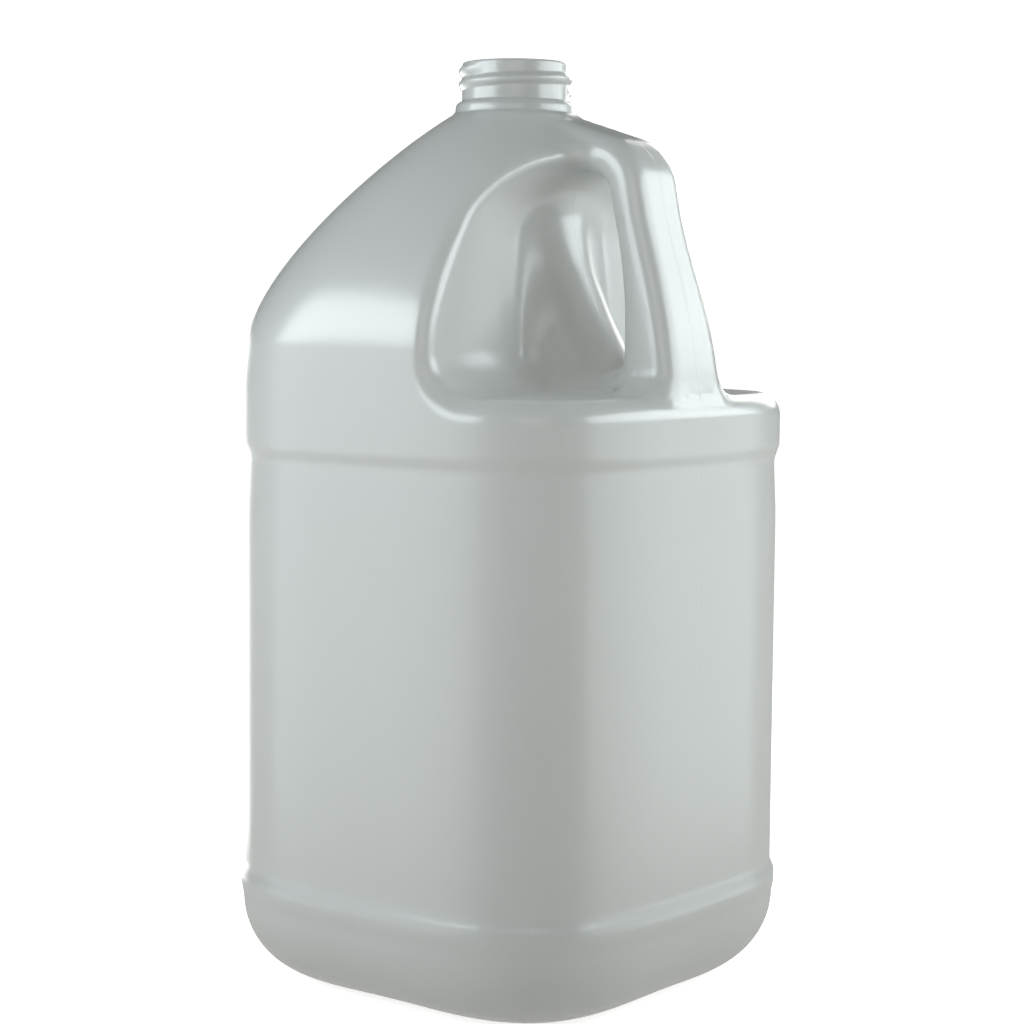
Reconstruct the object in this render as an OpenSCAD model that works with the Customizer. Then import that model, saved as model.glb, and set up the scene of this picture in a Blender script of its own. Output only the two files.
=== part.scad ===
// Plastic gallon jug: one blow-moulded piece with a hollow grip handle and an open 38 mm neck.
// The origin is the centre of the base, +Z is up and +X is the side that the handle is on.

/* [Body] */
// Width across two flat sides, at the raised bands
body_w = 153.5; // [135:0.5:175]
// Squareness of the body's section: 2 is round, more is squarer
body_square = 3.47; // [2.6:0.01:5]
// Radius of the rounded heel, where the sides turn into the base
heel_r = 26.5; // [12:0.5:30]
// Width of the flat ring that the jug stands on
foot_w = 6; // [3:0.5:10]
// Rise of the base inside that ring
push_up = 3; // [1:0.5:6]
// Wall thickness of the blown shell
wall = 0.9; // [0.6:0.1:1.6]

/* [Side panels] */
// Height of the top of the base band
band_top_z = 33.75; // [32:0.25:60]
// Height of the lower edge of the shoulder band
shoulder_z = 177; // [150:1:180]
// How far the side panels lie inside the bands
panel_inset = 0.9; // [0.3:0.1:2]
// Height of the groove under the shoulder band
groove_h = 9; // [5:0.5:14]
// Depth of that groove below the panels
groove_d = 0.9; // [0:0.1:2]

/* [Dome] */
// Height where the dome starts to round in
dome_z = 207; // [200:1:212]
// Height that the dome keeps close to the sides for, which sets how round its shoulder is
dome_shoulder_h = 23.5; // [10:0.5:32]
// Height of the foot of the neck, where the dome ends
neck_foot_z = 283.5; // [276:0.5:292]
// Half width that the upper part of the dome heads for
dome_cone_r = 46.7; // [38:0.1:56]
// Drop from the foot of the neck to that width
dome_cone_drop = 17; // [12:0.5:24]

/* [Neck] */
// Outside radius of the neck, at the root of its thread
neck_r = 17.5; // [15:0.1:18.5]
// Thickness of the neck's wall
neck_wall = 1.9; // [1.2:0.1:3]
// Height of the neck above the dome
neck_h = 16.5; // [12:0.5:24]
// Radius of the bead round the neck's foot
bead_r = 19.6; // [19.2:0.1:22]
// Height of that bead
bead_h = 4; // [2:0.5:6]

/* [Grip pocket] */
// Height of the ledge under the grip
ledge_z = 195.5; // [192:0.5:199]
// How far the ledge falls towards its outer edge
ledge_fall = 2; // [0:0.25:4]
// Radius of the rolled rim round the ledge and the pocket
rim_r = 7.5; // [3:0.5:10]
// Distance of the pocket's back wall from the axis
pocket_x = 20; // [15:0.5:26]
// Radius of the fillet between the ledge and the back wall
pocket_fillet = 9; // [2:0.5:12]
// Height where the back wall starts to lean out as the pocket's roof
pocket_roof_z = 257; // [250:0.5:262]
// How far the roof leans out for each millimetre that it rises
pocket_roof_slope = 1.5; // [1:0.1:2.5]
// Radius of the rounded nose that faces the grip
nose_r = 18; // [12:0.5:20]
// Distance of the nose's tip from the axis at the ledge
nose_foot_x = 52; // [44:0.5:54]
// Distance of the nose's tip from the axis at the pocket's roof
nose_top_x = 16; // [12:0.5:18]
// Softness of the hollow between the nose and the back wall
nose_blend = 8; // [2:1:12]

/* [Handle] */
// Distance of the outside of the handle from the axis, where it meets the shoulder band
handle_out = 75.5; // [72:0.5:76.5]
// Distance from the axis to the handle's bend, where the middle lines of its two limbs cross
handle_bend_x = 50.5; // [46:0.5:54]
// Height of that bend
handle_bend_z = 266; // [258:0.5:268]
// Radius of the bend, along the middle line
handle_bend_r = 13; // [8:0.5:18]
// How far the lower limb bows out from a straight line
handle_bow = 2; // [0:0.5:4]
// Thickness of the handle at its bend, measured across it
handle_t_top = 13; // [10:0.5:15]
// Thickness of the handle at the ledge, measured across it
handle_t_foot = 21; // [16:0.5:24]
// Width of the handle from side to side, at its bend
handle_w_top = 26; // [20:0.5:28]
// Width of the handle at the ledge
handle_w_foot = 31; // [26:0.5:36]
// Squareness of the handle's section
handle_square = 3.2; // [2:0.1:4]

/* [Hidden] */

plastic = [0.86, 0.90, 0.91];
none = 1000;
bore_r = neck_r - neck_wall;
half_w = body_w / 2;
// The nose's tip follows a curve, whose middle point lies at these shares of its height and reach
nose_top_z = pocket_roof_z + 12;
nose_mid_z = 0.26;
nose_mid_x = 0.46;
// Directions of the section's points, in degrees, closer together on the side of the grip
near_step = 5;
far_step = 9;
near_end = 90;
section_angles = concat(
    [for (a = [-near_end : near_step : near_end - near_step]) a],
    [for (a = [near_end : far_step : 360 - near_end - far_step]) a]);
heel_steps = 6;
roll_steps = 4;
dome_steps = 20;
handle_steps = 22;
handle_sides = 16;
// Shares of the height from the ledge to the dome where the section is drawn
fillet_shares = [0.02, 0.1, 0.35];
// Softness of the line where the rolled rim meets the pocket's walls
rim_blend = 2.5;
// How deep the handle's foot reaches into the body, where it opens into it
handle_sink = 14;
// Shares of the handle's length where it starts to widen, and over which it does
widen_from = 0.45;
widen_over = 0.5;
// How far the sloping edge of the base band reaches below and above the band's top
band_edge_low = 1;
band_edge_high = 1.5;
// Where the groove is deepest, as a share of its height from the top
groove_floor = 0.7;
// How far the bead and the dome's end run into each other, and how much wider the dome's end is
bead_seat = 1.3;
dome_end_r = bead_r + 0.6;
// Share of the bead's height that stands upright
bead_upright = 0.6;
round_fn = 96;
eps = 0.01;

function mix(a, b, t) = a + (b - a) * t;
function clamp01(t) = min(1, max(0, t));
function ease(t) = let (c = clamp01(t)) c * c * (3 - 2 * c);
function soft_min(a, b, k) = min(a, b) - pow(max(k - abs(a - b), 0), 2) / (4 * k);
function soft_max(a, b, k) = -soft_min(-a, -b, k);
function bezier2(p, t) = pow(1 - t, 2) * p[0] + 2 * t * (1 - t) * p[1] + pow(t, 2) * p[2];
function bezier3(p, t) = pow(1 - t, 3) * p[0] + 3 * t * pow(1 - t, 2) * p[1]
    + 3 * pow(t, 2) * (1 - t) * p[2] + pow(t, 3) * p[3];

// Distance from the axis to a superellipse of the given half width
function squircle(half, n, a) = half * pow(pow(abs(cos(a)), n) + pow(abs(sin(a)), n), -1 / n);

// Distance from the axis to the pocket's back wall, which leans out at its top and its foot
function back_wall_x(z, inset) = let (
    foot = max(0, pocket_fillet - (z - (ledge_z - inset))),
    roof = soft_max(0, z - inset - pocket_roof_z, pocket_fillet))
    pocket_x - inset + pocket_fillet - sqrt(pow(pocket_fillet, 2) - pow(min(foot, pocket_fillet), 2))
    + roof * pocket_roof_slope;

// Distance from the axis to the nose's tip, along a curve from the ledge to above the pocket's roof
function nose_tip_x(z) = let (
    zs = [ledge_z, mix(ledge_z, nose_top_z, nose_mid_z), nose_top_z],
    xs = [nose_foot_x, mix(nose_top_x, nose_foot_x, nose_mid_x), nose_top_x],
    a = zs[0] - 2 * zs[1] + zs[2],
    b = 2 * (zs[1] - zs[0]),
    c = zs[0] - min(max(z, zs[0]), zs[2]),
    t = (sqrt(b * b - 4 * a * c) - b) / (2 * a))
    bezier2(xs, t);

// Distance from the axis to the far side of the nose, or 0 where a ray misses it
function nose_reach(z, a, inset) = let (
    r = nose_r - inset,
    c = nose_tip_x(z) - nose_r,
    s = abs(c * sin(a)))
    (s < r && (cos(a) > 0 || c < r)) ? c * cos(a) + sqrt(r * r - s * s) : 0;

// Distance from the axis to the pocketed side of the section
function grip_reach(z, a, inset) = let (
    flat = cos(a) > eps ? min(back_wall_x(z, inset) / cos(a), none) : none)
    soft_max(flat, nose_reach(z, a, inset), nose_blend);

// The section gets rounder from the ledge up to the neck
function squareness(z) = mix(body_square, 2, clamp01((z - ledge_z) / (neck_foot_z - ledge_z)));

// One level is its height, half width, squareness, step in from the side, and roll at the ledge
function body_levels(inset) = concat(
    [for (i = [0 : heel_steps]) let (t = 90 * i / heel_steps, r = heel_r - inset)
        [inset + r * (1 - cos(t)), half_w, body_square, inset + r * (1 - sin(t)), 0]],
    [[band_top_z - band_edge_low, half_w, body_square, inset, 0],
     [band_top_z + band_edge_high, half_w, body_square, inset + panel_inset, 0],
     [shoulder_z - groove_h, half_w, body_square, inset + panel_inset, 0],
     [shoulder_z - groove_h * groove_floor, half_w, body_square, inset + panel_inset + groove_d, 0],
     [shoulder_z, half_w, body_square, inset, 0]],
    [for (i = [0 : roll_steps]) let (t = 90 * i / roll_steps)
        [ledge_z - inset - ledge_fall - rim_r * (1 - sin(t)),
         half_w, body_square, inset, rim_r * (1 - cos(t))]],
    [for (share = fillet_shares) let (z = mix(ledge_z - inset, dome_z, share))
        [z, half_w, squareness(z), inset, none]],
    [for (i = [0 : dome_steps]) let (
        t = i / dome_steps,
        z = bezier3([dome_z, dome_z + dome_shoulder_h, neck_foot_z - dome_cone_drop, neck_foot_z], t))
        [z - inset * t, bezier3([half_w, half_w, dome_cone_r, dome_end_r], t), squareness(z), inset, none]],
    [[neck_foot_z + bead_seat - inset, bead_r - bead_seat, 2, inset, none]]);

// How far the rolled rim has dropped from the side, at a distance x from the axis
function rim_drop(x, wall_x) = let (d = min(rim_r, max(0, x - wall_x + rim_r)))
    rim_r - sqrt(rim_r * rim_r - d * d);

// On the grip's side, the section keeps what lies under the rolled rim and inside the pocket's walls
function level_reach(level, a, inset) = let (
    z = level[0],
    side = squircle(level[1], level[2], a) - level[3],
    drop = rim_drop(side * cos(a), back_wall_x(z, inset)))
    level[4] == none ? soft_min(side - drop, grip_reach(z, a, inset), min(rim_blend, drop + eps))
    : side - min(level[4], drop);

function level_points(level, inset) = [for (a = section_angles)
    let (r = level_reach(level, a, inset)) [r * cos(a), r * sin(a), level[0]]];

// Closed skin over a list of rings that have the same number of points
module skin(rings, ends) {
    n = len(rings[0]);
    m = len(rings);
    points = concat([for (ring = rings) for (p = ring) p], ends);
    sides = [for (i = [0 : m - 2]) for (j = [0 : n - 1]) let (k = (j + 1) % n)
        for (f = [[i * n + j, (i + 1) * n + j, (i + 1) * n + k],
                  [i * n + j, (i + 1) * n + k, i * n + k]]) f];
    caps = [for (j = [0 : n - 1]) let (k = (j + 1) % n)
        for (f = [[m * n, j, k], [m * n + 1, (m - 1) * n + k, (m - 1) * n + j]]) f];
    polyhedron(points = points, faces = concat(sides, caps), convexity = 6);
}

// Ring in the base: the standing ring's inner edge, then the step up to the raised middle
function base_ring(z, step, inset) = [for (a = section_angles)
    let (r = squircle(half_w, body_square, a) - step) [r * cos(a), r * sin(a), z]];

module body(inset) {
    rings = concat(
        [base_ring(inset + push_up, heel_r + foot_w + 2 * push_up, inset),
         base_ring(inset, heel_r + foot_w, inset)],
        [for (level = body_levels(inset)) level_points(level, inset)]);
    skin(rings, [[0, 0, inset + push_up], [0, 0, neck_foot_z + bead_seat - inset]]);
}

// Middle line of the handle, in the parting plane: two limbs that an arc joins at the bend
handle_start = [bore_r - 4, neck_foot_z - 5];
handle_bend = [handle_bend_x, handle_bend_z];
handle_foot = [handle_out - handle_t_foot / 2, ledge_z - handle_sink];
upper = (handle_bend - handle_start) / norm(handle_bend - handle_start);
lower = (handle_foot - handle_bend) / norm(handle_foot - handle_bend);
turn = acos(upper * lower);
turn_reach = handle_bend_r * tan(turn / 2);
upper_l = norm(handle_bend - handle_start) - turn_reach;
arc_l = handle_bend_r * turn * PI / 180;
lower_l = norm(handle_foot - handle_bend) - turn_reach;
function handle_line(t) = let (
    s = t * (upper_l + arc_l + lower_l),
    on_arc = clamp01((s - upper_l) / arc_l) * turn,
    down = [upper[1], -upper[0]],
    along = max(0, s - upper_l - arc_l),
    bow = handle_bow * pow(sin(180 * clamp01(along / lower_l)), 2))
    handle_start + upper * (min(s, upper_l) + handle_bend_r * sin(on_arc))
    + down * handle_bend_r * (1 - cos(on_arc)) + lower * along + [bow, 0];

// Section of the handle square to its middle line
function handle_ring(t, inset) = let (
    p = handle_line(t),
    d = handle_line(t + eps) - handle_line(t - eps),
    side = [d[1], -d[0]] / norm(d),
    grow = ease((t - widen_from) / widen_over),
    half_t = mix(handle_t_top, handle_t_foot, grow) / 2 - inset,
    half_wide = mix(handle_w_top, handle_w_foot, grow) / 2 - inset)
    [for (i = [0 : handle_sides - 1]) let (a = 360 * i / handle_sides,
        k = squircle(1, handle_square, a),
        along = half_t * k * cos(a))
        [p[0] + side[0] * along, half_wide * k * sin(a), p[1] + side[1] * along]];

module handle(inset) {
    rings = [for (i = [0 : handle_steps]) handle_ring(i / handle_steps, inset)];
    first = handle_line(0);
    last = handle_line(1);
    skin(rings, [[first[0], 0, first[1]], [last[0], 0, last[1]]]);
}

// Plain neck with the bead round its foot
module neck() {
    cylinder(r = neck_r, h = neck_h, $fn = round_fn);
    rotate_extrude($fn = round_fn)
        polygon([[0, -bead_seat], [bead_r, -bead_seat], [bead_r, bead_h * bead_upright], [neck_r, bead_h],
                 [0, bead_h]]);
}

module jug() {
    color(plastic) difference() {
        union() {
            body(0);
            handle(0);
            translate([0, 0, neck_foot_z]) neck();
        }
        body(wall);
        handle(wall);
        translate([0, 0, neck_foot_z - 3 * wall])
            cylinder(r = bore_r, h = neck_h + 4 * wall, $fn = round_fn);
    }
}

jug();
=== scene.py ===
import math

import bmesh
import bpy
import numpy as np
from mathutils import Matrix, Vector


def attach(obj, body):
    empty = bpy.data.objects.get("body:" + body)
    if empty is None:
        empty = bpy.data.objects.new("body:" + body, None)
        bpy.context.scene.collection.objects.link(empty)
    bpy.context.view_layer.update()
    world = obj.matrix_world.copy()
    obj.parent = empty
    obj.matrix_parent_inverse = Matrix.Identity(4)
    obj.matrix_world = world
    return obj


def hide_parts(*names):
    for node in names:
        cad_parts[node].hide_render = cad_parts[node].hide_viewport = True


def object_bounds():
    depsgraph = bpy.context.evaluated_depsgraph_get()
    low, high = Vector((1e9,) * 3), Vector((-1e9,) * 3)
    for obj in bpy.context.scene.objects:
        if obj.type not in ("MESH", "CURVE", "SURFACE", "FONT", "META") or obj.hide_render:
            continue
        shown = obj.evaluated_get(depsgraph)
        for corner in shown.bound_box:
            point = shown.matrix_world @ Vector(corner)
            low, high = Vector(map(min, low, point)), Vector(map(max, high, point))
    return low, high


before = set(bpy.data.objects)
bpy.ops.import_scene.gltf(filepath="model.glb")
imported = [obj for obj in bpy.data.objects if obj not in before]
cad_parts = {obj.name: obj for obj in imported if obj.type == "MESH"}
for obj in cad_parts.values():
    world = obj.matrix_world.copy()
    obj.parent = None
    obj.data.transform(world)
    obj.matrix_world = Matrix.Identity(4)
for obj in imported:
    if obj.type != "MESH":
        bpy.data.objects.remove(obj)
cad_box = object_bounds()
MM = 0.001
scene = bpy.context.scene

# Camera
# It stands where the photograph was taken from, off the front corner on the handle's side,
# a little above the grip and looking slightly down.
CAMERA_AZIMUTH = math.radians(38.45)
CAMERA_DISTANCE = 783.75 * MM
CAMERA_HEIGHT = 220.74 * MM
CAMERA_SHIFT_SIDEWAYS = -0.17 * MM
CAMERA_PITCH = math.radians(4.93)
CAMERA_ROLL = math.radians(0.44)
SENSOR_WIDTH = 36.0
LENS = 83.4

towards_camera = Vector((math.sin(CAMERA_AZIMUTH), -math.cos(CAMERA_AZIMUTH), 0))
camera_right = Vector((math.cos(CAMERA_AZIMUTH), math.sin(CAMERA_AZIMUTH), 0))
camera_place = (towards_camera * CAMERA_DISTANCE + camera_right * CAMERA_SHIFT_SIDEWAYS
                + Vector((0, 0, CAMERA_HEIGHT)))
camera_data = bpy.data.cameras.new("camera")
camera_data.sensor_width = SENSOR_WIDTH
camera_data.lens = LENS
camera = bpy.data.objects.new("camera", camera_data)
scene.collection.objects.link(camera)
camera.matrix_world = (
    Matrix.Translation(camera_place)
    @ Matrix.Rotation(CAMERA_AZIMUTH, 4, "Z")
    @ Matrix.Rotation(math.pi / 2 - CAMERA_PITCH, 4, "X")
    @ Matrix.Rotation(CAMERA_ROLL, 4, "Z"))
scene.camera = camera

# Studio
# A white sweep that is round in plan, so that it looks the same from every side, and a large softbox
# on each side of the jug. The room is dark above, which draws the grey strip down its front corner.
SWEEP_FLAT_RADIUS = 1.9
SWEEP_BEND_RADIUS = 0.9
SWEEP_BEND_STEPS = 12
SWEEP_WALL_HEIGHT = 1.2
SWEEP_SEGMENTS = 96
SWEEP_WHITE = 0.5
# The sweep glows by itself, evenly far off but a little less close to the jug, as a painted shadow added
# to the real shadow that the softboxes cast on it
GLOW_IN_PAINTED_SHADOW = (0.72, 0.72, 0.71)
GLOW_FAR = (1.0, 1.0, 1.0)
PAINTED_SHADOW_REACH = 0.6
SOFTBOX_DISTANCE = 0.65
SOFTBOX_TALL = 0.36
LOW = 0.08
HIGH = 0.46
# Each softbox: degrees from the camera's direction, to the right where positive, its width, the
# height of its middle above the floor, its power and its colour
SOFTBOXES = {
    "front": (0, 0.32, HIGH, 0.6, (1.0, 1.0, 0.94)),
    "left_low": (-71, 0.72, LOW, 1.2, (0.93, 1.0, 1.03)),
    "left_high": (-71, 0.72, HIGH, 6.2, (0.93, 1.0, 1.05)),
    "right_low": (84, 0.86, LOW, 1.6, (0.93, 1.0, 1.0)),
    "right_high": (84, 0.86, HIGH, 6.6, (0.93, 1.0, 1.03)),
    "back_right": (150, 0.32, HIGH, 1.9, (1.0, 1.0, 0.96)),
    "back_left": (-150, 0.32, LOW, 1.1, (1.0, 1.0, 0.96)),
}
ROOM_ABOVE = (0.05, 0.05, 0.048)
ROOM_BELOW = (0.72, 0.70, 0.66)
# The room's two colours change over a band at the horizon, where each has an equal share
HORIZON_SHARPNESS = 4
HORIZON_SHARE = 0.5


class Shade:
    """A node socket that takes part in Python expressions, each adding a Math node."""

    tree = None

    def __init__(self, socket):
        self.socket = socket

    @classmethod
    def node(cls, kind, settings=(), **inputs):
        """A new node: its settings, then its inputs by name, or by number as i0, i1 and so on."""
        made = cls.tree.nodes.new(kind)
        for name, value in dict(settings).items():
            setattr(made, name, value)
        for name, value in inputs.items():
            numbered = name[0] == "i" and name[1:].isdigit()
            socket = made.inputs[int(name[1:]) if numbered else name.replace("_", " ")]
            if isinstance(value, Shade):
                cls.tree.links.new(value.socket, socket)
            else:
                socket.default_value = value
        return made

    @classmethod
    def maths(cls, operation, first, second):
        """One Math node on two values."""
        return cls(cls.node("ShaderNodeMath", {"operation": operation}, i0=first, i1=second).outputs[0])

    def absolute(self):
        return Shade.maths("ABSOLUTE", self, 0.0)

    def at_least(self, other):
        return Shade.maths("MAXIMUM", self, other)

    def at_most(self, other):
        return Shade.maths("MINIMUM", self, other)

    def __add__(self, other):
        return Shade.maths("ADD", self, other)

    def __mul__(self, other):
        return Shade.maths("MULTIPLY", self, other)

    def __rsub__(self, other):
        return Shade.maths("SUBTRACT", other, self)

    __radd__ = __add__
    __rmul__ = __mul__


def new_piece(name, mesh_builder):
    """A smooth mesh object made from a finished bmesh."""
    mesh = bpy.data.meshes.new(name)
    mesh_builder.to_mesh(mesh)
    mesh_builder.free()
    mesh.polygons.foreach_set("use_smooth", [True] * len(mesh.polygons))
    piece = bpy.data.objects.new(name, mesh)
    scene.collection.objects.link(piece)
    return piece


def spun(profile, segments, merge_distance):
    """A bmesh turned round the Z axis from a profile of radii and heights."""
    turned = bmesh.new()
    points = [turned.verts.new((radius, 0, height)) for radius, height in profile]
    edges = [turned.edges.new(pair) for pair in zip(points, points[1:])]
    bmesh.ops.spin(turned, geom=points + edges, cent=(0, 0, 0), axis=(0, 0, 1), angle=2 * math.pi,
                   steps=segments, use_merge=True)
    bmesh.ops.remove_doubles(turned, verts=turned.verts, dist=merge_distance)
    return turned


sweep_profile = [(0.0, 0.0), (SWEEP_FLAT_RADIUS, 0.0)]
for step in range(1, SWEEP_BEND_STEPS + 1):
    turn = math.pi / 2 * step / SWEEP_BEND_STEPS
    sweep_profile.append((SWEEP_FLAT_RADIUS + SWEEP_BEND_RADIUS * math.sin(turn),
                          SWEEP_BEND_RADIUS * (1 - math.cos(turn))))
sweep_profile.append((SWEEP_FLAT_RADIUS + SWEEP_BEND_RADIUS, SWEEP_BEND_RADIUS + SWEEP_WALL_HEIGHT))
sweep = new_piece("studio_sweep", spun(sweep_profile, SWEEP_SEGMENTS, 0.01 * MM))
sweep.visible_diffuse = False
sweep.visible_glossy = False
sweep.visible_transmission = False
sweep_finish = bpy.data.materials.new("studio_white")
sweep_finish.use_nodes = True
sweep_shader = sweep_finish.node_tree.nodes["Principled BSDF"]
sweep_shader.inputs["Base Color"].default_value = (SWEEP_WHITE, SWEEP_WHITE, SWEEP_WHITE, 1)
sweep_shader.inputs["Roughness"].default_value = 0.9
sweep_shader.inputs["Specular IOR Level"].default_value = 0.0
sweep_shader.inputs["Emission Strength"].default_value = 1.0
Shade.tree = sweep_finish.node_tree
spot = Shade(Shade.node("ShaderNodeTexCoord").outputs["Object"])
from_jug = Shade(Shade.node("ShaderNodeVectorMath", {"operation": "LENGTH"}, i0=spot).outputs["Value"])
# Painted shadow: the sweep's glow is darker near the jug and reaches full strength at a set distance from
# it
out_of_painted_shadow = (from_jug * (1 / PAINTED_SHADOW_REACH)).at_most(1.0)
sweep_glow_and_painted_shadow = Shade.node("ShaderNodeMix", {"data_type": "RGBA"}, i0=out_of_painted_shadow,
                        i6=(*GLOW_IN_PAINTED_SHADOW, 1), i7=(*GLOW_FAR, 1))
Shade.tree.links.new(sweep_glow_and_painted_shadow.outputs[2], sweep_shader.inputs["Emission Color"])
sweep.data.materials.append(sweep_finish)

for name, (azimuth, width, height, power, colour) in SOFTBOXES.items():
    outward = Matrix.Rotation(math.radians(azimuth), 3, "Z") @ towards_camera
    light_data = bpy.data.lights.new("softbox_" + name, "AREA")
    light_data.shape = "RECTANGLE"
    light_data.size = width
    light_data.size_y = SOFTBOX_TALL
    light_data.energy = power
    light_data.color = colour
    light = bpy.data.objects.new("softbox_" + name, light_data)
    scene.collection.objects.link(light)
    light.location = outward * SOFTBOX_DISTANCE + Vector((0, 0, height))
    light.rotation_mode = "QUATERNION"
    light.rotation_quaternion = outward.to_track_quat("Z", "Y")
    light.visible_camera = False

room = bpy.data.worlds.new("room")
room.use_nodes = True
Shade.tree = room.node_tree
Shade.tree.nodes.clear()
direction = Shade(Shade.node("ShaderNodeTexCoord").outputs["Generated"])
upward = Shade(Shade.node("ShaderNodeSeparateXYZ", Vector=direction).outputs["Z"])
glow_of_room = Shade.node("ShaderNodeMix", {"data_type": "RGBA"},
                          i0=upward * HORIZON_SHARPNESS + HORIZON_SHARE,
                          i6=(*ROOM_BELOW, 1), i7=(*ROOM_ABOVE, 1))
background = Shade.node("ShaderNodeBackground", Color=Shade(glow_of_room.outputs[2]))
Shade.node("ShaderNodeOutputWorld", Surface=Shade(background.outputs[0]))
scene.world = room
scene.view_settings.view_transform = "Standard"

# Jug, its form
# One piece of natural polyethylene, blown from a soft tube that is closed in a two-part mould, so that
# body, dome, grip pocket and hollow handle are one skin. All its sizes are in millimetres, from the base.
BODY_HALF = round(cad_box[1][0] / MM, 2)
ROUND = 2
BODY_SQUARENESS = 3.47
HEEL_RADIUS = 26.5
FOOT_WIDTH = 6.0
PUSH_UP = 3.0
PUSH_UP_SLOPE = 9.0
# Height and how far the side lies inside the body's half width: heel, base bead, panel, groove, band
SIDE_STEPS = ((0, 0.2), (26.5, 0.2), (29.5, -0.45), (33.6, -0.5), (36.6, 0.85), (38, 0.9), (153, 0.9),
              (169.6, 1.6), (171.4, 1.6), (176.2, 0.0), (178, -0.05), (300, 0.0))
SIDE_SOFTNESS = 0.8
# The dome's side is a curve that four heights and half widths steer, from the band to the neck's foot
DOME_Z = 207.0
DOME_SHOULDER_Z = 230.5
DOME_CONE_RADIUS = 46.7
DOME_CONE_Z = 266.5
DOME_END_RADIUS = 19.8
DOME_CURVE_STEPS = 400
NECK_FOOT_Z = 283.5
LEDGE_Z = 195.5
LEDGE_FALL = 2.0
# The pocket's back wall, which leans out towards the pocket's open sides as the mould has to draw off
POCKET_X = 19.5
POCKET_DRAFT = 5.8
POCKET_DRAFT_FROM = 22.0
POCKET_DRAFT_TO = 66.0
POCKET_ROOF_Z = 256.7
POCKET_ROOF_SLOPE = 1.5
POCKET_ROOF_FILLET = 12.0
POCKET_FLOOR_FILLET = 14.0
# The rolled rim, whose radius changes from the ledge's to the pocket's between two heights
POCKET_RIM_RADIUS = 5.4
LEDGE_RIM_RADIUS = 7.5
RIM_CHANGE = (196.0, 208.0)
NOSE_RADIUS = 18.0
NOSE_FILLET = 9.0
# Heights of the nose's tip and its distances from the axis, the middle pair steering the curve
NOSE_TIP = ((195.5, 52.0), (214.7, 32.6), (269.0, 16.0))
NOSE_CURVE_STEPS = 200
# The handle's middle line in the parting plane, as distances from the axis and heights
HANDLE_START = (11.6, 278.0)
HANDLE_BEND = (50.5, 266.0)
HANDLE_BEND_RADIUS = 13.0
HANDLE_FOOT = (65.2, 181.5)
HANDLE_BOW = 2.0
HANDLE_STEPS = 240
# Its section at the bend and at the foot, and the shares of its length between which it grows
HANDLE_THICKNESS = (13.0, 21.0)
HANDLE_WIDTH = (26.0, 31.0)
HANDLE_WIDEN = (0.45, 0.95)
HANDLE_CORNER = 6.0
# The fillet to the body, which fades over a drop below the neck and where the two skins run together
HANDLE_BLEND = 9.0
HANDLE_BLEND_FADE = 12.0
LEAST_BLEND_AT_NECK = 0.15
LEAST_BLEND_ALONGSIDE = 0.02
# Farther than this from the handle its distance isn't worked out
HANDLE_REACH = 40.0
# Heights between which the profiles are worked out
FORM_LOW_Z = -5
FORM_HIGH_Z = 305
FORM_STEPS = 3101
# Gradients are taken over a small step, and the least slope keeps a flat one from blowing up a distance
GRADIENT_STEP = 0.05
LEAST_SLOPE = 0.2
TINY = 1e-6

heights = np.linspace(FORM_LOW_Z, FORM_HIGH_Z, FORM_STEPS)


def bezier(points, t):
    """A cubic curve from the first to the last of four numbers, steered by the two between."""
    a, b, c, d = points
    return (1 - t) ** 3 * a + 3 * t * (1 - t) ** 2 * b + 3 * t * t * (1 - t) * c + t ** 3 * d


def ease(t):
    """0 to 1 with level ends."""
    t = np.clip(t, 0, 1)
    return t * t * (3 - 2 * t)


def softened(values, reach):
    """A profile over the heights with its corners rounded over a reach in millimetres."""
    step = heights[1] - heights[0]
    bell = np.hanning(2 * int(reach / step) + 3)
    padded = np.pad(values, len(bell) // 2, mode="edge")
    return np.convolve(padded, bell / bell.sum(), mode="valid")


dome_share = np.linspace(0, 1, DOME_CURVE_STEPS)
dome_half = np.interp(heights, bezier((DOME_Z, DOME_SHOULDER_Z, DOME_CONE_Z, NECK_FOOT_Z), dome_share),
                      bezier((BODY_HALF, BODY_HALF, DOME_CONE_RADIUS, DOME_END_RADIUS), dome_share))
side_in = softened(np.interp(heights, *zip(*SIDE_STEPS)), SIDE_SOFTNESS)
nose_share = np.linspace(0, 1, NOSE_CURVE_STEPS)
nose_points = [(1 - nose_share) ** 2 * low + 2 * nose_share * (1 - nose_share) * middle
               + nose_share ** 2 * high for low, middle, high in zip(*NOSE_TIP)]
nose_centre = np.interp(heights, *nose_points) - NOSE_RADIUS
nose_lean = np.gradient(nose_centre, heights)


def squircle(half, squareness, cosine, sine):
    """Distance from the axis to a superellipse, in the direction of a cosine and a sine."""
    return half * (np.abs(cosine) ** squareness + np.abs(sine) ** squareness) ** (-1 / squareness)


def joined(a, b, radius):
    """The surface of two forms together, with a round fillet where they meet."""
    u = np.maximum(radius - a, 0)
    v = np.maximum(radius - b, 0)
    return np.maximum(radius, np.minimum(a, b)) - np.hypot(u, v)


def common(a, b, radius):
    """The surface of what two forms share, with a rolled edge where they meet."""
    return -joined(-a, -b, radius)


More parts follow.
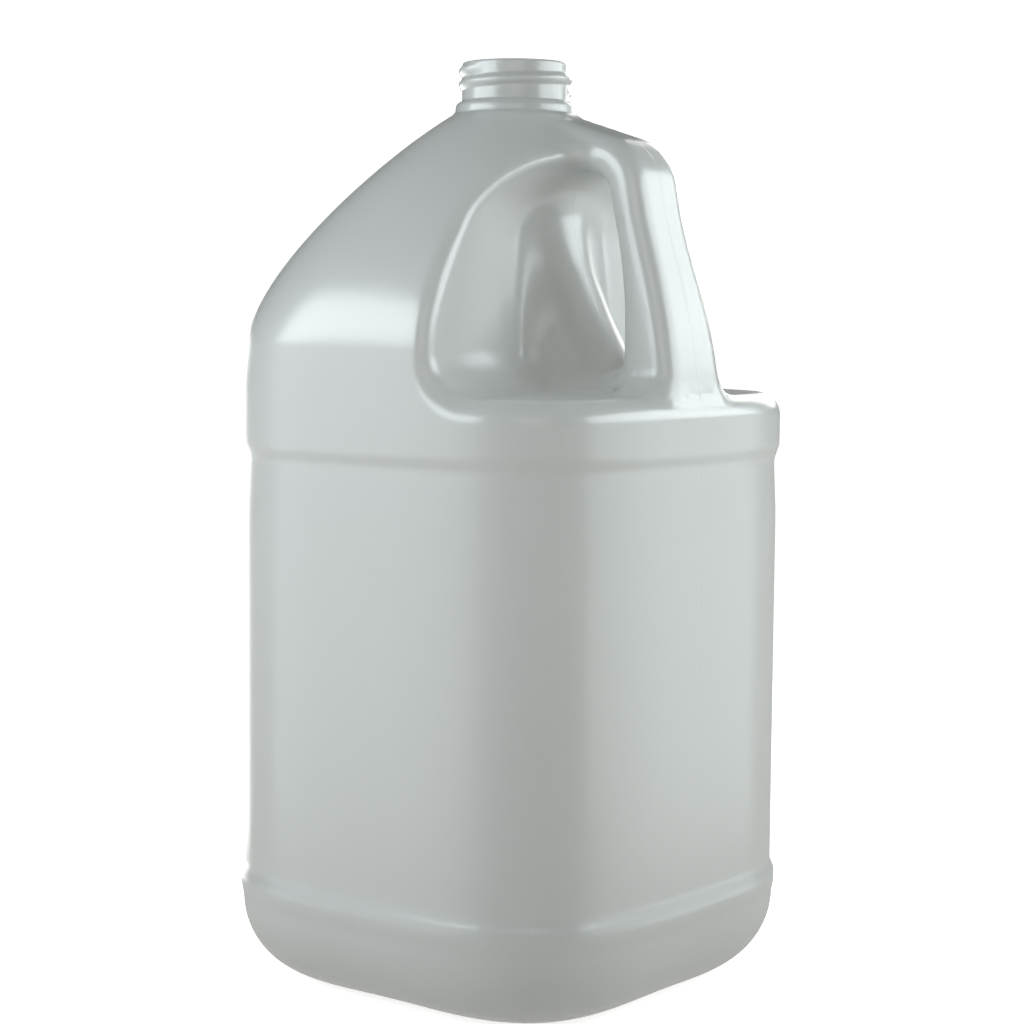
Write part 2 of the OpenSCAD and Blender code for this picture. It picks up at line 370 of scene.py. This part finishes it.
def handle_middle():
    """Points along the handle's middle line in the parting plane: limb, bend, limb."""
    start, bend, foot = (np.array(p) for p in (HANDLE_START, HANDLE_BEND, HANDLE_FOOT))
    upper = (bend - start) / np.linalg.norm(bend - start)
    lower = (foot - bend) / np.linalg.norm(foot - bend)
    turn = math.acos(float(upper @ lower))
    reach = HANDLE_BEND_RADIUS * math.tan(turn / 2)
    down = np.array((upper[1], -upper[0]))
    upper_length = np.linalg.norm(bend - start) - reach
    lower_length = np.linalg.norm(foot - bend) - reach
    arc_length = HANDLE_BEND_RADIUS * turn
    s = np.linspace(0, upper_length + arc_length + lower_length, HANDLE_STEPS)[:, None]
    angle = np.clip((s - upper_length) / arc_length, 0, 1) * turn
    after = np.maximum(0, s - upper_length - arc_length)
    bow = HANDLE_BOW * np.sin(np.pi * np.clip(after / lower_length, 0, 1)) ** 2
    return (start + upper * (np.minimum(s, upper_length) + HANDLE_BEND_RADIUS * np.sin(angle))
            + down * HANDLE_BEND_RADIUS * (1 - np.cos(angle)) + lower * after + bow * np.array((1.0, 0.0)))


handle_line = handle_middle()
handle_tangent = np.gradient(handle_line, axis=0)
handle_tangent /= np.linalg.norm(handle_tangent, axis=1)[:, None]
handle_share = np.linspace(0, 1, HANDLE_STEPS)
handle_grow = ease((handle_share - HANDLE_WIDEN[0]) / (HANDLE_WIDEN[1] - HANDLE_WIDEN[0]))


def grown(sizes, share):
    """A size between that at the handle's bend and that at its foot."""
    return sizes[0] + (sizes[1] - sizes[0]) * share


def handle_distance(p):
    """Distance from the handle's outside, a rounded oblong section along its middle line."""
    flat = p[:, [0, 2]]
    gap = (flat[:, :1] - handle_line[:, 0]) ** 2 + (flat[:, 1:] - handle_line[:, 1]) ** 2
    nearest = gap.argmin(axis=1)
    offset = flat - handle_line[nearest]
    tangent = handle_tangent[nearest]
    across = np.abs(offset[:, 0] * tangent[:, 1] - offset[:, 1] * tangent[:, 0])
    beyond = np.abs((offset * tangent).sum(axis=1))
    half_thick = grown(HANDLE_THICKNESS, handle_grow[nearest]) / 2
    half_wide = grown(HANDLE_WIDTH, handle_grow[nearest]) / 2
    u = np.hypot(across, beyond) - (half_thick - HANDLE_CORNER)
    v = np.abs(p[:, 1]) - (half_wide - HANDLE_CORNER)
    return np.hypot(np.maximum(u, 0), np.maximum(v, 0)) + np.minimum(np.maximum(u, v), 0) - HANDLE_CORNER


def handle_form(p):
    """Distance from the handle's outside, negative within, worked out near the handle only."""
    near = (p[:, 0] > 0) & (np.abs(p[:, 1]) < HANDLE_WIDTH[1]) & (p[:, 2] > HANDLE_FOOT[1] - HANDLE_REACH)
    distance = np.full(len(p), HANDLE_REACH)
    distance[near] = handle_distance(p[near])
    return distance


def body_form(p):
    """Distance from the body's outside, roughly, negative within."""
    x, y, z = p.T
    rho = np.maximum(np.hypot(x, y), TINY)
    rounding = np.clip((z - LEDGE_Z) / (NECK_FOOT_Z - LEDGE_Z), 0, 1)
    squareness = BODY_SQUARENESS + (ROUND - BODY_SQUARENESS) * rounding
    reach = squircle(np.interp(z, heights, dome_half), squareness, x / rho, y / rho)
    side = rho - (reach - np.interp(z, heights, side_in))
    floor = PUSH_UP * ease((-side - HEEL_RADIUS - FOOT_WIDTH) / PUSH_UP_SLOPE)
    whole = common(side, floor - z, HEEL_RADIUS)
    lean = np.interp(z, heights, nose_lean)
    nose = (np.hypot(x - np.interp(z, heights, nose_centre), y) - NOSE_RADIUS) / np.hypot(1, lean)
    ledge = z - LEDGE_Z + LEDGE_FALL * ease((rho - POCKET_X) / (BODY_HALF - POCKET_X))
    roof = (x - POCKET_X - POCKET_ROOF_SLOPE * (z - POCKET_ROOF_Z)) / math.hypot(1, POCKET_ROOF_SLOPE)
    draft = POCKET_DRAFT * (np.abs(y) - POCKET_DRAFT_FROM).clip(0) / (POCKET_DRAFT_TO - POCKET_DRAFT_FROM)
    wall = x - POCKET_X - draft
    kept = joined(wall, roof, POCKET_ROOF_FILLET)
    kept = joined(kept, ledge, POCKET_FLOOR_FILLET)
    kept = joined(kept, nose, NOSE_FILLET)
    rise = ease((z - RIM_CHANGE[0]) / (RIM_CHANGE[1] - RIM_CHANGE[0]))
    return common(whole, kept, LEDGE_RIM_RADIUS + (POCKET_RIM_RADIUS - LEDGE_RIM_RADIUS) * rise)


def gradient(form, p):
    """Gradient of a form at points."""
    grad = np.empty_like(p)
    for k in range(3):
        d = np.zeros(3)
        d[k] = GRADIENT_STEP
        grad[:, k] = (form(p + d) - form(p - d)) / (2 * GRADIENT_STEP)
    return grad


def jug_form(p):
    """Value and gradient of the whole jug. The handle's fillet fades where the two skins run together."""
    body_grad = gradient(body_form, p)
    handle_grad = gradient(handle_form, p)
    body_size = np.linalg.norm(body_grad, axis=1).clip(LEAST_SLOPE)
    body = body_form(p) / body_size
    handle = handle_form(p)
    likeness = (body_grad * handle_grad).sum(axis=1) / body_size
    below_neck = np.clip((NECK_FOOT_Z - p[:, 2]) / HANDLE_BLEND_FADE, LEAST_BLEND_AT_NECK, 1)
    radius = HANDLE_BLEND * np.clip(1 - likeness, LEAST_BLEND_ALONGSIDE, 1) * below_neck
    value = joined(body, handle, radius)
    a = np.maximum(radius - body, 0)
    b = np.maximum(radius - handle, 0)
    total = np.maximum(np.hypot(a, b), TINY)
    in_fillet = (a > 0) & (b > 0)
    body_part = np.where(in_fillet, a / total, (body < handle).astype(float))
    handle_part = np.where(in_fillet, b / total, (body >= handle).astype(float))
    grad = body_part[:, None] * body_grad / body_size[:, None] + handle_part[:, None] * handle_grad
    grad /= np.linalg.norm(grad, axis=1).clip(TINY)[:, None]
    return value, grad


# Jug, its skin
# The outside of the blown wall, as the mould left it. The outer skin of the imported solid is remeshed
# into even quads, and each point is then moved onto the form above, so that the fillets, the bands
# and the rims are smooth and exact.
SMOOTHING = 0.5
SETTLE_STEPS = 4
LARGEST_MOVE = 3
SKIN_TOP_Z = NECK_FOOT_Z + 2
NECK_CUT_Z = NECK_FOOT_Z + 0.1
# Size of the quads and how often they are smoothed and settled: first large ones, then the final ones
SKIN_ROUNDS = ((2.6 * MM, 5), (1.55 * MM, 3))


def cut_above(mesh_builder, height):
    """Takes away all that lies above a height in millimetres."""
    everything = mesh_builder.verts[:] + mesh_builder.edges[:] + mesh_builder.faces[:]
    bmesh.ops.bisect_plane(mesh_builder, geom=everything, plane_co=(0, 0, height * MM),
                           plane_no=(0, 0, 1), clear_outer=True)


def outer_skin():
    """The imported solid's outer skin below the neck, closed at the top."""
    source = bmesh.new()
    source.from_mesh(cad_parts["jug"].data)
    bmesh.ops.remove_doubles(source, verts=source.verts, dist=0.002 * MM)
    cut_above(source, SKIN_TOP_Z)
    front = {min(source.verts, key=lambda v: v.co.z)}
    seen = set(front)
    while front:
        front = {e.other_vert(v) for v in front for e in v.link_edges} - seen
        seen |= front
    bmesh.ops.delete(source, geom=[v for v in source.verts if v not in seen], context="VERTS")
    bmesh.ops.holes_fill(source, edges=[e for e in source.edges if e.is_boundary])
    return source


def settled(points):
    """Points moved onto the jug's form, in a few steps along its gradient."""
    for _ in range(SETTLE_STEPS):
        value, grad = jug_form(points)
        points = points - np.clip(value, -LARGEST_MOVE, LARGEST_MOVE)[:, None] * grad
    return points


def even_quads(source, cell):
    """The same closed skin in even quads of one size."""
    raw = new_piece("jug_raw", source)
    remesh = raw.modifiers.new("even_quads", "REMESH")
    remesh.mode = "VOXEL"
    remesh.voxel_size = cell
    even = bpy.data.meshes.new_from_object(raw.evaluated_get(bpy.context.evaluated_depsgraph_get()))
    bpy.data.objects.remove(raw)
    skin = bmesh.new()
    skin.from_mesh(even)
    return skin


skin = outer_skin()
for cell, rounds in SKIN_ROUNDS:
    skin = even_quads(skin, cell)
    for _ in range(rounds):
        bmesh.ops.smooth_vert(skin, verts=skin.verts, factor=SMOOTHING, use_axis_x=True, use_axis_y=True,
                              use_axis_z=True)
        points = settled(np.array([v.co for v in skin.verts]) / MM)
        for v, co in zip(skin.verts, points * MM):
            v.co = co
cut_above(skin, NECK_CUT_Z)
jug = new_piece("jug_body", skin)
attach(jug, "root")

# Jug, its neck
# The neck is formed by the blow pin: a plain bore, nearly two turns of rounded thread and a bead
# round the foot. It is one with the body, and its skirt runs down into the dome's skin.
NECK_RADIUS = 17.5
NECK_TOP_Z = round(cad_box[1][2] / MM, 2)
BORE_RADIUS = 15.6
BEAD_RADIUS = 19.6
# Points of the neck's section, each as how far out of a radius and how far above a height it lies:
# the skirt and the bead, from the bead's radius and the neck's foot
BEAD_SECTION = ((0.9, -1.6), (0.45, -0.3), (0.15, 0.5), (0.05, 1.2), (-0.05, 2.2), (-0.35, 3.0),
                (-1.1, 3.6))
# The hollow above the bead, from the neck's radius and foot
HOLLOW_SECTION = ((0.15, 4.0),)
# The outside of the lip, from the neck's radius and top
LIP_SECTION = ((-0.08, -0.45), (-0.3, -0.12), (-0.6, 0))
# The inside of the lip, from the bore's radius and the neck's top
BORE_TOP_SECTION = ((0.5, 0), (0.15, -0.15), (0, -0.5))
# The bore's end, from its radius and the neck's foot
BORE_END_SECTION = ((0, 1), (0.6, -0.8), (2.4, -2.0))
NECK_WALL_LOW_Z = NECK_FOOT_Z + 4.2
NECK_WALL_HIGH_Z = NECK_TOP_Z - 0.9
NECK_WALL_STEPS = 48
NECK_SEGMENTS = 180
THREAD_HEIGHT = 1.15
THREAD_HALF_WIDTH = 2.1
THREAD_ROUNDNESS = 1.5
THREAD_PITCH = 4.2
THREAD_LOW_Z = 290.5
THREAD_START = math.radians(20)
THREAD_TURNS = 1.7
THREAD_ANGLE = THREAD_TURNS * 2 * math.pi
THREAD_FADE = math.radians(25)
# How near to the neck's radius a point has to be to lie on its wall
WALL_NEARNESS = 0.02


def placed(section, radius, height):
    """The section's points, as radii and heights in metres."""
    return [((radius + out) * MM, (height + up) * MM) for out, up in section]


def thread_lift(around, height):
    """How far the thread stands out of the wall, at an angle from its start and at a height."""
    lift = 0.0
    while around < THREAD_ANGLE:
        ridge_z = THREAD_LOW_Z + THREAD_PITCH * around / (2 * math.pi)
        ends = min(1, around / THREAD_FADE, (THREAD_ANGLE - around) / THREAD_FADE)
        across = abs(height - ridge_z) / THREAD_HALF_WIDTH
        if across < 1:
            lift = max(lift, THREAD_HEIGHT * ends * (1 - across * across) ** THREAD_ROUNDNESS)
        around += 2 * math.pi
    return lift


neck_wall = [(NECK_RADIUS * MM, height * MM)
             for height in np.linspace(NECK_WALL_LOW_Z, NECK_WALL_HIGH_Z, NECK_WALL_STEPS + 1)]
neck_profile = (
    placed(BEAD_SECTION, BEAD_RADIUS, NECK_FOOT_Z) + placed(HOLLOW_SECTION, NECK_RADIUS, NECK_FOOT_Z)
    + neck_wall + placed(LIP_SECTION, NECK_RADIUS, NECK_TOP_Z)
    + placed(BORE_TOP_SECTION, BORE_RADIUS, NECK_TOP_Z)
    + placed(BORE_END_SECTION, BORE_RADIUS, NECK_FOOT_Z))
neck = spun(neck_profile, NECK_SEGMENTS, 0.001 * MM)
for v in neck.verts:
    if abs(math.hypot(v.co.x, v.co.y) / MM - NECK_RADIUS) < WALL_NEARNESS:
        around = (math.atan2(v.co.y, v.co.x) - THREAD_START) % (2 * math.pi)
        swell = 1 + thread_lift(around, v.co.z / MM) / NECK_RADIUS
        v.co.x *= swell
        v.co.y *= swell
bmesh.ops.recalc_face_normals(neck, faces=neck.faces)
jug_neck = new_piece("jug_neck", neck)
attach(jug_neck, "root")
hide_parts("jug")

# Jug, its finish
# Natural polyethylene: milky and cool in tone, it lets diffuse light through the wall, and its
# mould-blown surface is satin with a faint orange peel.
PLASTIC_COLOUR = (0.53, 0.54, 0.53)
GLOW_COLOUR = (0.66, 0.67, 0.66)
THROUGH_SHARE = 0.5
ROUGHNESS_LEAST = 0.2
ROUGHNESS_CHANGE = 0.08
# The peel is the fine grain of the blown skin and the flow its slow waves, as patches in a metre
PEEL_SCALE = 420.0
PEEL_DETAIL = 2.0
PEEL_RELIEF = 0.3
FLOW_SCALE = 22.0
FLOW_DETAIL = 3.0
FLOW_RELIEF = 0.7
# The parting line of the mould, all round the jug in the handle's plane
SEAM_HALF_WIDTH = 0.5 * MM
SEAM_RELIEF = 1.2
RELIEF_DEPTH = 0.6 * MM
RELIEF_STRENGTH = 0.12

plastic = bpy.data.materials.new("natural_polyethylene")
plastic.use_nodes = True
Shade.tree = plastic.node_tree
Shade.tree.nodes.clear()
place = Shade(Shade.node("ShaderNodeTexCoord").outputs["Object"])
peel = Shade(Shade.node("ShaderNodeTexNoise", Vector=place, Scale=PEEL_SCALE,
                        Detail=PEEL_DETAIL).outputs["Fac"])
flow = Shade(Shade.node("ShaderNodeTexNoise", Vector=place, Scale=FLOW_SCALE,
                        Detail=FLOW_DETAIL).outputs["Fac"])
from_parting = Shade(Shade.node("ShaderNodeSeparateXYZ", Vector=place).outputs["Y"]).absolute()
seam = (1 - from_parting * (1 / SEAM_HALF_WIDTH)).at_least(0.0)
relief = peel * PEEL_RELIEF + flow * FLOW_RELIEF + seam * SEAM_RELIEF
bump = Shade(Shade.node("ShaderNodeBump", Height=relief, Strength=RELIEF_STRENGTH,
                        Distance=RELIEF_DEPTH).outputs["Normal"])
satin = Shade.node("ShaderNodeBsdfPrincipled", Roughness=flow * ROUGHNESS_CHANGE + ROUGHNESS_LEAST,
                   Normal=bump)
satin.inputs["Base Color"].default_value = (*PLASTIC_COLOUR, 1)
satin.inputs["IOR"].default_value = 1.52
satin.inputs["Coat Weight"].default_value = 1.0
satin.inputs["Coat Roughness"].default_value = 0.26
satin.inputs["Coat IOR"].default_value = 1.5
glow = Shade.node("ShaderNodeBsdfTranslucent", Normal=bump)
glow.inputs["Color"].default_value = (*GLOW_COLOUR, 1)
wall = Shade.node("ShaderNodeMixShader", i0=THROUGH_SHARE, i1=Shade(satin.outputs[0]),
                  i2=Shade(glow.outputs[0]))
Shade.node("ShaderNodeOutputMaterial", Surface=Shade(wall.outputs[0]))
for piece in (jug, jug_neck):
    piece.data.materials.append(plastic)
